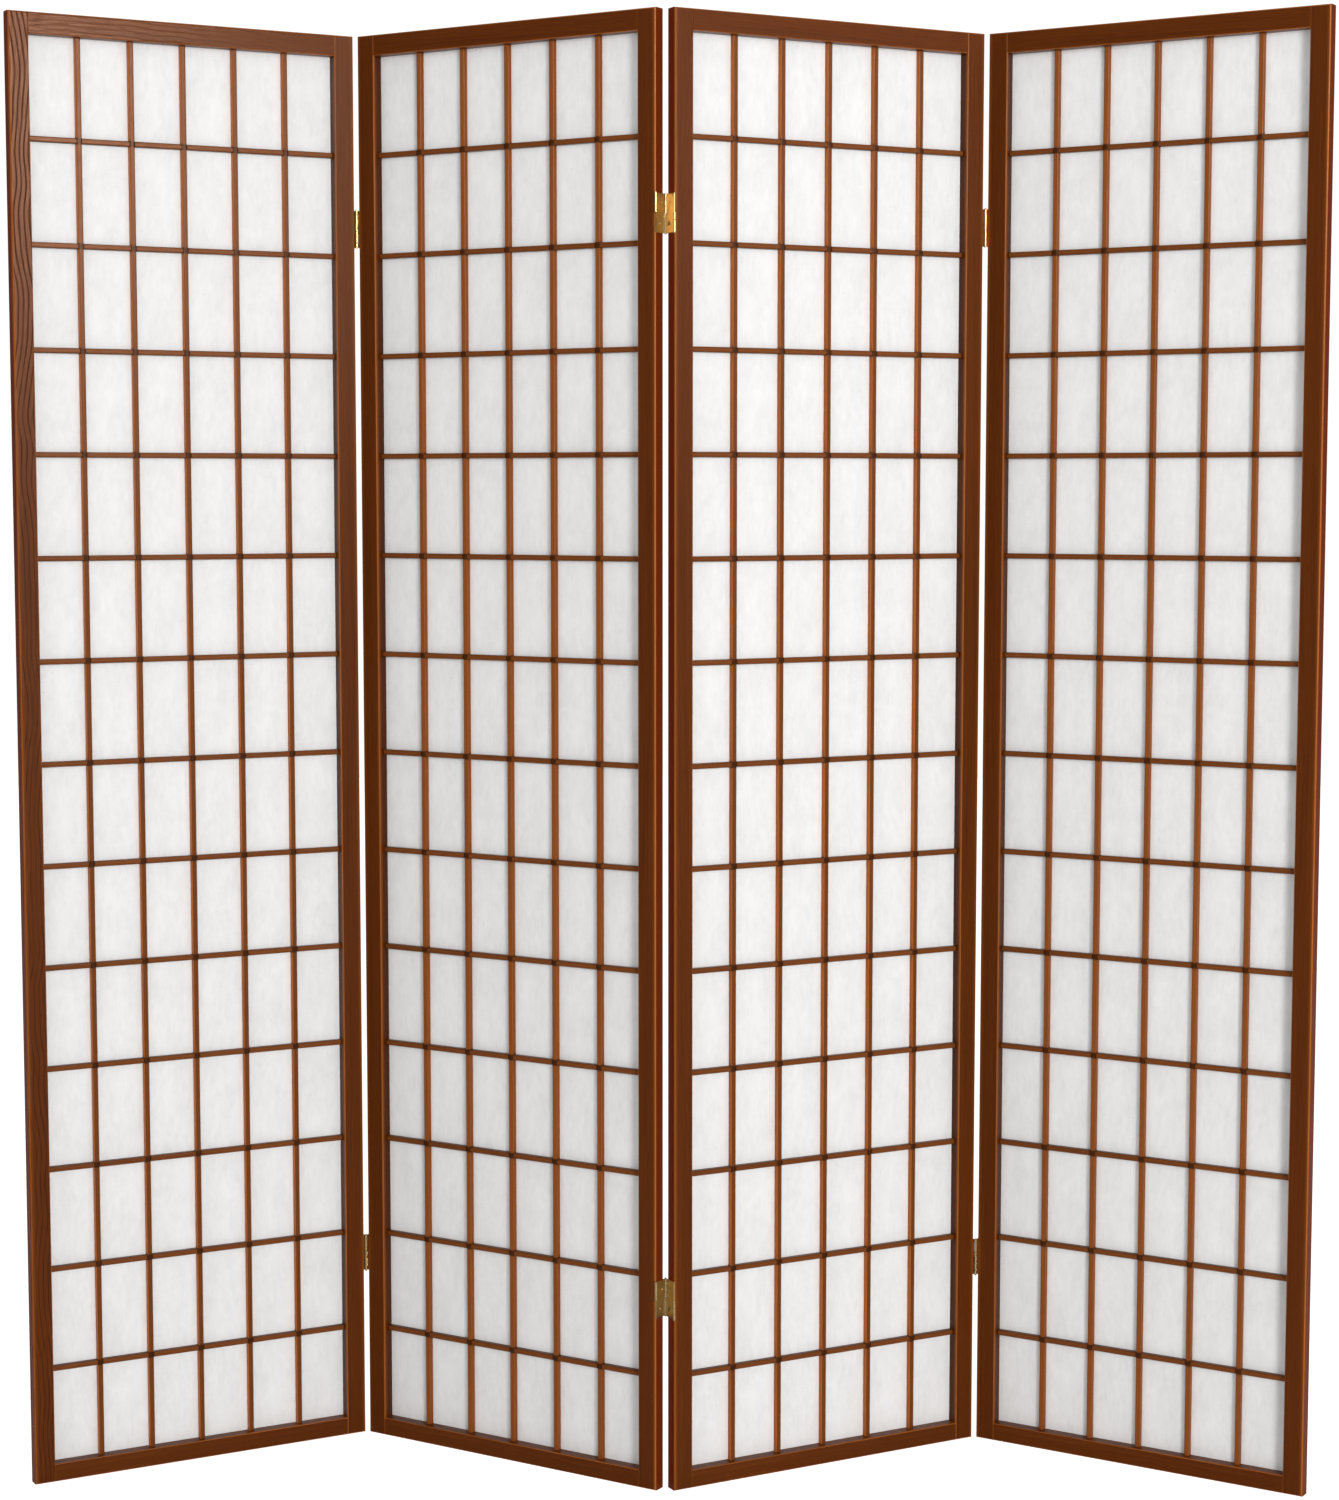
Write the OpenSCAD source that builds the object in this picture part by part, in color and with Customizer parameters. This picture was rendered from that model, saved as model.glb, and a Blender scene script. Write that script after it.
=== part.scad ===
// Free-standing folding shoji screen, standing zigzag.
// Each panel is a mortised wooden frame with a half-lapped lattice, and paper glued behind the lattice.
// Neighbouring panels are joined by two double-acting hinges, which have a pivot in front and one behind.
// Millimetres. +X runs along the screen, +Y from its front to its back, +Z up from the floor.
// The origin is on the floor, at the middle of the standing screen's footprint.

/* [Screen] */
// Height of a panel
panel_h = 1784; // [1300:1:2300]
// Width of a panel
panel_w = 438; // [300:1:700]
// Thickness of a panel's frame
panel_t = 18; // [15:0.5:30]
// Angle between two neighbouring panels as the screen stands
open_angle = 120; // [60:5:160]

/* [Frame] */
// Face width of a stile
stile_w = 25; // [20:0.5:50]
// Height of the top rail
top_rail_h = 25.5; // [18:0.5:60]
// Height of the bottom rail
bottom_rail_h = 22.5; // [18:0.5:120]
// Radius of the frame's outer arrises
arris_r = 2; // [0.5:0.1:3]
// Radius of the arris round the paper opening
inner_arris_r = 1.2; // [0.4:0.1:3]
// Length of a rail's tenon
tenon_l = 15; // [8:0.5:18]
// Thickness of a rail's tenon
tenon_t = 6; // [4:0.5:8]
// Shoulder above and below a rail's tenon
tenon_shoulder = 4.5; // [3:0.5:6]

/* [Lattice] */
// Number of upright bars in a panel
upright_count = 5; // [1:1:8]
// Number of crossbars in a panel
crossbar_count = 13; // [1:1:16]
// Face width of a lattice bar
bar_w = 6.5; // [4:0.5:12]
// Depth of a lattice bar from its face to the paper
bar_d = 7; // [5:0.5:9]
// Radius of a bar's front arrises
bar_arris_r = 1.3; // [0.4:0.1:1.8]
// Depth to which a bar's end is housed in the frame
housing_d = 4; // [2:0.5:5]
// How much lower the bottom row of panes is than the others
short_row = 4; // [0:0.5:20]

/* [Paper] */
// Thickness of the paper
paper_t = 0.3; // [0.2:0.1:1]
// Width of the rebate that takes the paper's edge
rebate_w = 4; // [2:0.5:6]
// Depth of that rebate from the back of the frame
rebate_d = 2; // [1.5:0.5:4]

/* [Hinges] */
// Height of a hinge
hinge_h = 46; // [36:1:80]
// Distance from a panel's end to the middle of a hinge
hinge_inset = 238; // [120:1:400]
// Thickness of the hinge plates
plate_t = 1; // [0.8:0.1:1.6]
// Gap between two plates that lie against each other
plate_gap = 0.15; // [0.1:0.05:0.4]
// Outer diameter of a knuckle
barrel_d = 3.2; // [3:0.1:5]
// Gap between a knuckle and the face of the panel
face_gap = 0.5; // [0.4:0.1:1]
// Diameter of a hinge pin
pin_d = 1.5; // [1.2:0.1:1.9]
// Radial running clearance of a hinge pin
pin_play = 0.05; // [0.02:0.01:0.1]
// Gap between two knuckles along a pin
knuckle_gap = 0.3; // [0.2:0.1:0.6]
// Length of a knuckle on the left leaf
left_knuckle_l = 3.5; // [3:0.1:4.5]
// Length of a knuckle on the right leaf
right_knuckle_l = 6.2; // [3:0.1:6.5]
// Height of the head at the inner end of a pin
pin_head_h = 2.2; // [1.5:0.1:2.5]

/* [Screws] */
// Diameter of a screw's head
screw_head_d = 5; // [4:0.1:6]
// Diameter of a screw's shank
screw_d = 2.4; // [2:0.1:3]
// Length of a screw
screw_l = 15; // [10:0.5:16]
// Height of a screw above or below the middle of its hinge
screw_z = 12.5; // [8:0.5:13]
// Distance of a screw from the front of the frame
screw_from_front = 10; // [7:0.5:11]
// Clearance round a screw
screw_gap = 0.03; // [0.02:0.01:0.1]

/* [Hidden] */
$fn = 48;
PANELS = 4;
FOLDS = PANELS - 1;
UPPER = 1;
LOWER = -1;

wood_colour = [0.40, 0.20, 0.09];
lattice_colour = [0.47, 0.24, 0.11];
paper_colour = [0.93, 0.93, 0.91];
brass_colour = [0.78, 0.62, 0.30];

// Lattice and paper, counted from the back of the frame
paper_front = panel_t - rebate_d;
lattice_front = paper_front - bar_d;
lap_d = bar_d / 2;
socket_end_gap = 0.2;
opening_w = panel_w - 2 * stile_w;
opening_h = panel_h - top_rail_h - bottom_rail_h;
pane_w = (opening_w - upright_count * bar_w) / (upright_count + 1);
pane_h = (opening_h + short_row - crossbar_count * bar_w) / (crossbar_count + 1);
tenon_front = (paper_front - tenon_t) / 2;

// Pivots: their plane's distance from a panel's edge, and their distance from its face
pivot_gap = 1.5 * plate_t + plate_gap;
pivot_out = barrel_d / 2 + face_gap;
barrel_r = barrel_d / 2;
bore_r = pin_d / 2 + pin_play;
pin_head_r = barrel_r + 0.1;
knuckle_start = knuckle_gap / 2 + pin_head_h + 0.15;
knuckle_end = hinge_h / 2;
finial_h = 0.9;
finial_rim = 0.4;
link_hole_d = screw_head_d + 0.6;
link_start = 0.4;

// The chain of panels, from left to right
half_turn = 90 - open_angle / 2;
function panel_turn(n) = n % 2 == 1 ? half_turn : -half_turn;
function turned(angle, p) = [p.x * cos(angle) - p.y * sin(angle), p.x * sin(angle) + p.y * cos(angle)];
// Odd folds turn on their front pivot, even folds on their back pivot
function pivot_depth(fold) = fold % 2 == 1 ? -pivot_out : panel_t + pivot_out;
function right_pivot(n) = [panel_w + pivot_gap, pivot_depth(n)];
function left_pivot(n) = [-pivot_gap, pivot_depth(n - 1)];
function chain(n) = n == 1 ? [0, 0]
    : chain(n - 1) + turned(panel_turn(n - 1), right_pivot(n - 1)) - turned(panel_turn(n), left_pivot(n));
function in_chain(n, p) = chain(n) + turned(panel_turn(n), p);
nearest_y = in_chain(2, [panel_w + pivot_gap, -pivot_out]).y - pin_head_r;
farthest_y = in_chain(1, [panel_w + pivot_gap, panel_t + pivot_out]).y + pin_head_r;
middle = [in_chain(2, right_pivot(2)).x, (nearest_y + farthest_y) / 2];

function upright_x(i) = stile_w + i * pane_w + (i - 1) * bar_w;
function crossbar_z(j) = panel_h - top_rail_h - j * (pane_h + bar_w);
function hinge_z(level) = level == UPPER ? panel_h - hinge_inset : hinge_inset;
function level_name(level) = level == UPPER ? "upper" : "lower";
function has_left_hinges(n) = n > 1;
function has_right_hinges(n) = n < PANELS;

PANEL_PIECES = ["left_stile", "right_stile", "top_rail", "bottom_rail", "lattice_uprights",
    "lattice_crossbars", "paper", "hinge_screws", "hinge_pins"];
HINGE_PIECES = ["left_leaf", "right_leaf", "upper_link", "lower_link"];
function hinge_node(fold, level, piece) = str("fold_", fold, "_", level_name(level), "_hinge_", piece);

// ---- Placing ----

// A panel's own frame: x from its left edge, y from its front face, z from the floor
module in_panel(n) {
    translate([chain(n).x - middle.x, chain(n).y - middle.y, 0])
        rotate(panel_turn(n)) children();
}

// A hinge's frame on a panel's right edge: x outwards from the edge, z from the hinge's middle
module on_right_edge(n, level) {
    in_panel(n) translate([panel_w, 0, hinge_z(level)]) children();
}

// The same on a panel's left edge
module on_left_edge(n, level) {
    in_panel(n) translate([0, 0, hinge_z(level)]) mirror([1, 0, 0]) children();
}

// Extrudes a section along x from x0 to x1: the section's x becomes z, and its y stays y
module along_x(x0, x1) {
    translate([x1, 0, 0]) rotate([0, -90, 0]) linear_extrude(x1 - x0) children();
}

module right_to_left() {
    translate([panel_w, 0, 0]) mirror([1, 0, 0]) children();
}

module bottom_to_top() {
    translate([0, 0, panel_h]) mirror([0, 0, 1]) children();
}

// ---- Sections ----

// What a rounded arris takes off a square corner at the origin
module arris_waste(r) {
    difference() {
        translate([-1, -1]) square(r + 1);
        translate([r, r]) circle(r);
    }
}

// A frame member: its outer edge is x = 0, and its front face is y = 0
module member_section(width) {
    difference() {
        square([width, panel_t]);
        arris_waste(arris_r);
        translate([0, panel_t]) mirror([0, 1]) arris_waste(arris_r);
        translate([width, 0]) mirror([1, 0]) arris_waste(inner_arris_r);
    }
}

// A lattice bar, rounded along its front
module bar_section() {
    difference() {
        square([bar_w, bar_d]);
        arris_waste(bar_arris_r);
        translate([bar_w, 0]) mirror([1, 0]) arris_waste(bar_arris_r);
    }
}

// ---- Frame ----

module tenon(rail_h, gap) {
    translate([stile_w - tenon_l - gap, tenon_front, tenon_shoulder])
        cube([tenon_l + gap, tenon_t, rail_h - 2 * tenon_shoulder]);
}

// The arrises across the ends of a stile
module stile_end_limits() {
    along_x(0, stile_w) difference() {
        square([panel_h, panel_t]);
        arris_waste(arris_r);
        translate([0, panel_t]) mirror([0, 1]) arris_waste(arris_r);
        translate([panel_h, 0]) mirror([1, 0]) arris_waste(arris_r);
        translate([panel_h, panel_t]) rotate(180) arris_waste(arris_r);
    }
}

// The left stile of a panel
module stile(hinged) {
    color(wood_colour) difference() {
        intersection() {
            linear_extrude(panel_h) member_section(stile_w);
            stile_end_limits();
        }
        tenon(bottom_rail_h, socket_end_gap);
        bottom_to_top() tenon(top_rail_h, socket_end_gap);
        translate([stile_w - rebate_w, paper_front, bottom_rail_h - rebate_w])
            cube([rebate_w + 1, rebate_d + 1, opening_h + 2 * rebate_w]);
        for (j = [1:crossbar_count])
            translate([stile_w - housing_d - socket_end_gap, lattice_front, crossbar_z(j)])
                cube([housing_d + socket_end_gap + 1, bar_d, bar_w]);
        if (hinged)
            for (level = [UPPER, LOWER]) for (side = [UPPER, LOWER])
                translate([-1, screw_from_front, hinge_z(level) + side * screw_z])
                    rotate([0, 90, 0]) cylinder(h = screw_l + 1 + socket_end_gap, d = screw_d + 2 * screw_gap);
    }
}

// The bottom rail of a panel
module rail(rail_h) {
    color(wood_colour) union() {
        difference() {
            along_x(stile_w, panel_w - stile_w) member_section(rail_h);
            translate([stile_w - 1, paper_front, rail_h - rebate_w])
                cube([opening_w + 2, rebate_d + 1, rebate_w + 1]);
            for (i = [1:upright_count])
                translate([upright_x(i), lattice_front, rail_h - housing_d - socket_end_gap])
                    cube([bar_w, bar_d, housing_d + socket_end_gap + 1]);
        }
        tenon(rail_h, 0);
        right_to_left() tenon(rail_h, 0);
    }
}

// ---- Lattice and paper ----

// Upright bars, notched behind to let the crossbars through
module lattice_uprights() {
    color(lattice_colour) for (i = [1:upright_count]) difference() {
        translate([upright_x(i), lattice_front, bottom_rail_h - housing_d])
            linear_extrude(opening_h + 2 * housing_d) bar_section();
        for (j = [1:crossbar_count])
            translate([upright_x(i) - 1, lattice_front + lap_d, crossbar_z(j)])
                cube([bar_w + 2, lap_d + 1, bar_w]);
    }
}

// Crossbars, notched in front to let the uprights through
module lattice_crossbars() {
    color(lattice_colour) for (j = [1:crossbar_count]) difference() {
        translate([0, lattice_front, crossbar_z(j)])
            along_x(stile_w - housing_d, panel_w - stile_w + housing_d) bar_section();
        for (i = [1:upright_count])
            translate([upright_x(i), lattice_front - 1, crossbar_z(j) - 1])
                cube([bar_w, lap_d + 1, bar_w + 2]);
    }
}

module paper() {
    color(paper_colour) translate([stile_w - rebate_w, paper_front, bottom_rail_h - rebate_w])
        cube([opening_w + 2 * rebate_w, paper_t, opening_h + 2 * rebate_w]);
}

// ---- Hinges ----

// In one half of a hinge, counted up from its middle
module in_half(half) {
    mirror([0, 0, half == UPPER ? 0 : 1]) children();
}

// A knuckle on the pivot's axis, softened at both ends
module knuckle(z0, z1, softening) {
    rotate_extrude() polygon([[0, z0], [barrel_r - softening, z0], [barrel_r, z0 + softening],
        [barrel_r, z1 - softening], [barrel_r - softening, z1], [0, z1]]);
}

function softening(knuckle_l) = knuckle_l > left_knuckle_l ? 0.6 : 0.15;

// A plate's two places on a pin, or the link's one place between them, for knuckles of one length
function leaf_spans(knuckle_l) = [[knuckle_start, knuckle_start + knuckle_l],
    [knuckle_end - knuckle_l, knuckle_end]];
function link_spans(knuckle_l) = [[knuckle_start + knuckle_l + knuckle_gap,
    knuckle_end - knuckle_l - knuckle_gap]];

// Knuckles on the pivot beyond one face, each with the strip that carries it from plate_x
module knuckles(half, pivot_y, spans, soft, plate_x) {
    strip_y = pivot_y < 0 ? pivot_y : panel_t;
    in_half(half) for (span = spans) {
        translate([pivot_gap, pivot_y, 0]) knuckle(span[0], span[1], soft);
        translate([plate_x, strip_y, span[0] + soft])
            cube([plate_t, pivot_out, span[1] - span[0] - 2 * soft]);
    }
}

module pivot_bores() {
    for (pivot_y = [-pivot_out, panel_t + pivot_out])
        translate([pivot_gap, pivot_y, -hinge_h]) cylinder(h = 2 * hinge_h, r = bore_r);
}

// A leaf, screwed to a panel's edge, with its front pin in one half and its back pin in the other
module leaf(front_half, knuckle_l) {
    color(brass_colour) difference() {
        union() {
            translate([0, 0, -hinge_h / 2]) cube([plate_t, panel_t, hinge_h]);
            knuckles(front_half, -pivot_out, leaf_spans(knuckle_l), softening(knuckle_l), 0);
            knuckles(-front_half, panel_t + pivot_out, leaf_spans(knuckle_l), softening(knuckle_l), 0);
        }
        pivot_bores();
        for (side = [UPPER, LOWER]) translate([0, screw_from_front, side * screw_z])
            rotate([0, 90, 0]) screw_head(screw_gap);
    }
}

// A link, which crosses from a front pin to a back pin in one half of the hinge
module link(half, front_knuckle_l, back_knuckle_l) {
    plate_x = pivot_gap - plate_t / 2;
    color(brass_colour) difference() {
        union() {
            in_half(half) translate([plate_x, 0, link_start])
                cube([plate_t, panel_t, hinge_h / 2 - link_start]);
            knuckles(half, -pivot_out, link_spans(front_knuckle_l), softening(front_knuckle_l), plate_x);
            knuckles(half, panel_t + pivot_out, link_spans(back_knuckle_l), softening(back_knuckle_l), plate_x);
        }
        pivot_bores();
        translate([0, screw_from_front, half * screw_z])
            rotate([0, 90, 0]) cylinder(h = 2 * pivot_gap, d = link_hole_d);
    }
}

module upper_link() link(UPPER, left_knuckle_l, right_knuckle_l);
module lower_link() link(LOWER, right_knuckle_l, left_knuckle_l);

// A pin in one half of a hinge: a head near the hinge's middle and a finial at its end
module pin(half, pivot_y) {
    head_z = knuckle_gap / 2;
    head_top = head_z + pin_head_h;
    rim_z = knuckle_end + 0.1;
    head_softening = 0.5;
    color(brass_colour) in_half(half) translate([pivot_gap, pivot_y, 0])
        rotate_extrude() polygon([[0, head_z], [pin_head_r - head_softening, head_z],
            [pin_head_r, head_z + head_softening], [pin_head_r, head_top - head_softening],
            [pin_head_r - head_softening, head_top], [pin_d / 2, head_top], [pin_d / 2, rim_z],
            [barrel_r - 0.1, rim_z], [barrel_r - 0.1, rim_z + finial_rim],
            [pin_d / 4, rim_z + finial_rim + finial_h], [0, rim_z + finial_rim + finial_h]]);
}

// The two pins that a leaf carries
module leaf_pins(front_half) {
    pin(front_half, -pivot_out);
    pin(-front_half, panel_t + pivot_out);
}

// A countersunk head, flush with the outside of a leaf, widened by gap
module screw_head(gap) {
    cylinder(h = plate_t, d1 = screw_d + 2 * gap, d2 = screw_head_d + 2 * gap);
}

module screw() {
    recess_w = 0.7;
    recess_d = 0.6;
    recess_l = 3;
    difference() {
        union() {
            screw_head(0);
            translate([0, 0, -screw_l + plate_t]) cylinder(h = screw_l - plate_t, d = screw_d);
        }
        for (turn = [0, 90]) rotate(turn)
            translate([-recess_l / 2, -recess_w / 2, plate_t - recess_d])
                cube([recess_l, recess_w, recess_d + 1]);
    }
}

module leaf_screws() {
    color(brass_colour) for (side = [UPPER, LOWER])
        translate([0, screw_from_front, side * screw_z]) rotate([0, 90, 0]) screw();
}

// Everything of one kind that a panel's hinged edges carry
module hinge_screws(n) {
    for (level = [UPPER, LOWER]) {
        if (has_right_hinges(n)) on_right_edge(n, level) leaf_screws();
        if (has_left_hinges(n)) on_left_edge(n, level) leaf_screws();
    }
}

module hinge_pins(n) {
    for (level = [UPPER, LOWER]) {
        if (has_right_hinges(n)) on_right_edge(n, level) leaf_pins(UPPER);
        if (has_left_hinges(n)) on_left_edge(n, level) leaf_pins(LOWER);
    }
}

// A link lies against the edge of the panel that its fold's pivot holds it to
module place_link(fold, level, on_left_panel) {
    if (on_left_panel) on_right_edge(fold, level) children();
    else on_left_edge(fold + 1, level) children();
}

// ---- The pieces ----

for (n = [1:PANELS]) {
    in_panel(n) stile(has_left_hinges(n));
    in_panel(n) right_to_left() stile(has_right_hinges(n));
    in_panel(n) bottom_to_top() rail(top_rail_h);
    in_panel(n) rail(bottom_rail_h);
    in_panel(n) lattice_uprights();
    in_panel(n) lattice_crossbars();
    in_panel(n) paper();
    hinge_screws(n);
    hinge_pins(n);
}
for (fold = [1:FOLDS]) for (level = [UPPER, LOWER]) {
    on_right_edge(fold, level) leaf(UPPER, left_knuckle_l);
    on_left_edge(fold + 1, level) leaf(LOWER, right_knuckle_l);
    place_link(fold, level, fold % 2 == 0) upper_link();
    place_link(fold, level, fold % 2 == 1) lower_link();
}
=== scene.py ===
import math

import bmesh
import bpy
from mathutils import Matrix, Vector, noise


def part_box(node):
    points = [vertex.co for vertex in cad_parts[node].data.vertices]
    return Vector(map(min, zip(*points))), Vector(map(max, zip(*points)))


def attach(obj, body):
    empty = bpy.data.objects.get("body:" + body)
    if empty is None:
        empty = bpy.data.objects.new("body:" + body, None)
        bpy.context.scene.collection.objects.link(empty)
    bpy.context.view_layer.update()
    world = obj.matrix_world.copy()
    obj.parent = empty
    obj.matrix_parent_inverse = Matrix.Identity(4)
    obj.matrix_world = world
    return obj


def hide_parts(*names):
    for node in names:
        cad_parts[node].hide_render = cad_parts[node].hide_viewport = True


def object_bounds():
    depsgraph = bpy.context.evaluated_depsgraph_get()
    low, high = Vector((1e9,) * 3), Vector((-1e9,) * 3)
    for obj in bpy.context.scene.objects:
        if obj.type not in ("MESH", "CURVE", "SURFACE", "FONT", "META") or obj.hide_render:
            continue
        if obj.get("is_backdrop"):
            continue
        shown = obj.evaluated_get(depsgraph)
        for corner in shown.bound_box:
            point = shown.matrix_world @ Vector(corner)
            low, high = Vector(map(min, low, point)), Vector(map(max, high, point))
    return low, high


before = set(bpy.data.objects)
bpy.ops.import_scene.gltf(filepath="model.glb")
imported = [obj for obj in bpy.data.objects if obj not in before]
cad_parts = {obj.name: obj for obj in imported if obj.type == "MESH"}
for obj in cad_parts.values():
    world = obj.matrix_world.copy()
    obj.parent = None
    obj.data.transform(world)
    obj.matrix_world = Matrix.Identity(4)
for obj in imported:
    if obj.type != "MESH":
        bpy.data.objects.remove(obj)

bl_info = {
    "name": "Folding Shoji Screen",
    "version": (1, 0, 0),
    "blender": (4, 5, 0),
    "location": "View3D > Sidebar > Shoji Screen",
    "description": "Finishes a folding paper screen: stained wood, washi paper and brass hinges",
    "category": "Object",
}

MM = 0.001
PANELS = (1, 2, 3, 4)
FOLDS = (1, 2, 3)
LEVELS = ("upper", "lower")


# ---- Where things stand ----

def middle_of(node):
    low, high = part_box(node)
    return (low + high) / 2


class PanelPlace:
    """A panel's middle and turn, how far its edges and front lie from there, and the run of its bars"""

    def __init__(self, number):
        lattice = bpy.context.scene.shoji_lattice
        self.number = number
        self.middle = middle_of(f"panel_{number}_paper")
        across = middle_of(f"panel_{number}_right_stile") - middle_of(f"panel_{number}_left_stile")
        self.turn = math.atan2(across.y, across.x)
        low, high = self.box(f"panel_{number}_paper")
        self.paper_width = high.x - low.x
        self.paper_height = high.z - low.z
        stile_low, stile_high = self.box(f"panel_{number}_right_stile")
        self.edge = stile_high.x
        self.front = stile_low.y
        self.opening_width = self.paper_width - 2 * lattice.paper_edge
        self.upright_pitch = (self.opening_width + lattice.bar_width) / (lattice.upright_count + 1)
        bars_low, bars_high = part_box(f"panel_{number}_lattice_crossbars")
        run = bars_high.z - bars_low.z - lattice.bar_width
        self.crossbar_pitch = run / (lattice.crossbar_count - 1)
        self.crossbar_start = bars_low.z + lattice.bar_width / 2 - self.middle.z

    def matrix(self):
        """From the panel's own frame, with x along it and y to its back, to the screen's frame"""
        return Matrix.Translation(self.middle) @ Matrix.Rotation(self.turn, 4, "Z")

    def box(self, node):
        """A node's lowest and highest corners in the panel's own frame"""
        inward = self.matrix().inverted()
        spots = [inward @ vert.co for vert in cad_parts[node].data.vertices]
        return Vector(map(min, zip(*spots))), Vector(map(max, zip(*spots)))


# ---- Nodes ----

WHITE = (1.0, 1.0, 1.0, 1.0)


def tinted(colour, share):
    return tuple(channel * share for channel in colour)


class Nodes:
    """The steps that build the nodes of one tree"""

    def __init__(self, tree):
        self.tree = tree
        tree.nodes.clear()

    def add(self, kind, settings=None, sockets=None):
        node = self.tree.nodes.new(kind)
        for name, value in (settings or {}).items():
            setattr(node, name, value)
        for name, value in (sockets or {}).items():
            if isinstance(value, bpy.types.NodeSocket):
                self.tree.links.new(value, node.inputs[name])
            else:
                node.inputs[name].default_value = value
        return node

    def math(self, operation, first, second=0.0, third=0.0):
        return self.add(
            "ShaderNodeMath",
            {"operation": operation},
            {0: first, 1: second, 2: third},
        ).outputs[0]

    def times(self, first, second):
        return self.math("MULTIPLY", first, second)

    def minus(self, first, second):
        return self.math("SUBTRACT", first, second)

    def blend(self, first, share, rest):
        """The rest, with a share of the first added"""
        return self.math("MULTIPLY_ADD", first, share, rest)

    def size(self, value):
        """A value without its sign"""
        return self.math("ABSOLUTE", value)

    def join(self, x, y, z):
        return self.add("ShaderNodeCombineXYZ", None, {0: x, 1: y, 2: z}).outputs[0]

    def split(self, vector):
        return self.add("ShaderNodeSeparateXYZ", None, {0: vector}).outputs

    def pattern(self, point, ripples, detail=4.0, roughness=0.55, distortion=0.0):
        """Noise with so many ripples to the metre along each axis"""
        stretched = self.add(
            "ShaderNodeMapping",
            {"vector_type": "POINT"},
            {"Vector": point, "Scale": ripples},
        ).outputs[0]
        return self.add(
            "ShaderNodeTexNoise",
            {"noise_dimensions": "3D"},
            {
                "Vector": stretched,
                "Scale": 1.0,
                "Detail": detail,
                "Roughness": roughness,
                "Distortion": distortion,
            },
        ).outputs[0]

    def fade(self, value, start, end, at_start=0.0, at_end=1.0):
        """A smooth step from one level to another"""
        return self.add(
            "ShaderNodeMapRange",
            {"interpolation_type": "SMOOTHSTEP"},
            {0: value, 1: start, 2: end, 3: at_start, 4: at_end},
        ).outputs[0]

    def spread(self, value, start, end, at_start, at_end):
        """A straight run from one level to another, held at its ends"""
        return self.add(
            "ShaderNodeMapRange",
            {"clamp": True},
            {0: value, 1: start, 2: end, 3: at_start, 4: at_end},
        ).outputs[0]

    def ramp(self, value, stops):
        node = self.add("ShaderNodeValToRGB", None, {0: value})
        points = node.color_ramp.elements
        while len(points) < len(stops):
            points.new(0.5)
        for point, (place, colour) in zip(points, stops):
            point.position = place
            point.color = (*colour, 1.0)
        return node.outputs[0]

    def mix(self, share, first, second):
        node = self.add("ShaderNodeMix", {"data_type": "RGBA"})
        for index, value in ((0, share), (6, first), (7, second)):
            if isinstance(value, bpy.types.NodeSocket):
                self.tree.links.new(value, node.inputs[index])
            else:
                node.inputs[index].default_value = value if index == 0 else (*value, 1.0)
        return node.outputs[2]

    def bump(self, height, distance, strength):
        return self.add(
            "ShaderNodeBump",
            None,
            {"Height": height, "Distance": distance, "Strength": strength},
        ).outputs[0]


class Finish(Nodes):
    """A material, and the steps that are only for materials"""

    SOCKETS = {
        "colour": "Base Color",
        "roughness": "Roughness",
        "normal": "Normal",
        "metal": "Metallic",
        "specular": "Specular IOR Level",
    }

    def __init__(self, name):
        self.material = bpy.data.materials.new(name)
        self.material.use_nodes = True
        super().__init__(self.material.node_tree)
        self.output = self.add("ShaderNodeOutputMaterial")

    def from_panel(self, place):
        """A point and a normal in the panel's own frame, counted from the middle of its paper"""
        source = self.add("ShaderNodeTexCoord")
        turn = (0, 0, place.turn)
        point = self.add(
            "ShaderNodeMapping",
            {"vector_type": "TEXTURE"},
            {"Vector": source.outputs["Object"], "Location": place.middle, "Rotation": turn},
        ).outputs[0]
        normal = self.add(
            "ShaderNodeMapping",
            {"vector_type": "TEXTURE"},
            {"Vector": source.outputs["Normal"], "Rotation": turn},
        ).outputs[0]
        return point, normal

    def from_bars(self, here, place):
        """How far a point is from the middles of the nearest upright and the nearest crossbar"""
        from_upright = self.math("PINGPONG", here[0], place.upright_pitch / 2)
        climbed = self.minus(here[2], place.crossbar_start)
        from_crossbar = self.math("PINGPONG", climbed, place.crossbar_pitch / 2)
        return from_upright, from_crossbar

    def close(self, **sockets):
        shader = self.add(
            "ShaderNodeBsdfPrincipled",
            None,
            {self.SOCKETS[name]: value for name, value in sockets.items()},
        )
        self.tree.links.new(shader.outputs[0], self.output.inputs[0])
        return self.material


# ---- Wood ----

# Where most of a pattern's values lie
MIDDLE_RANGE = (0.3, 0.7)
GRAIN_RELIEF = 0.06 * MM


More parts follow.
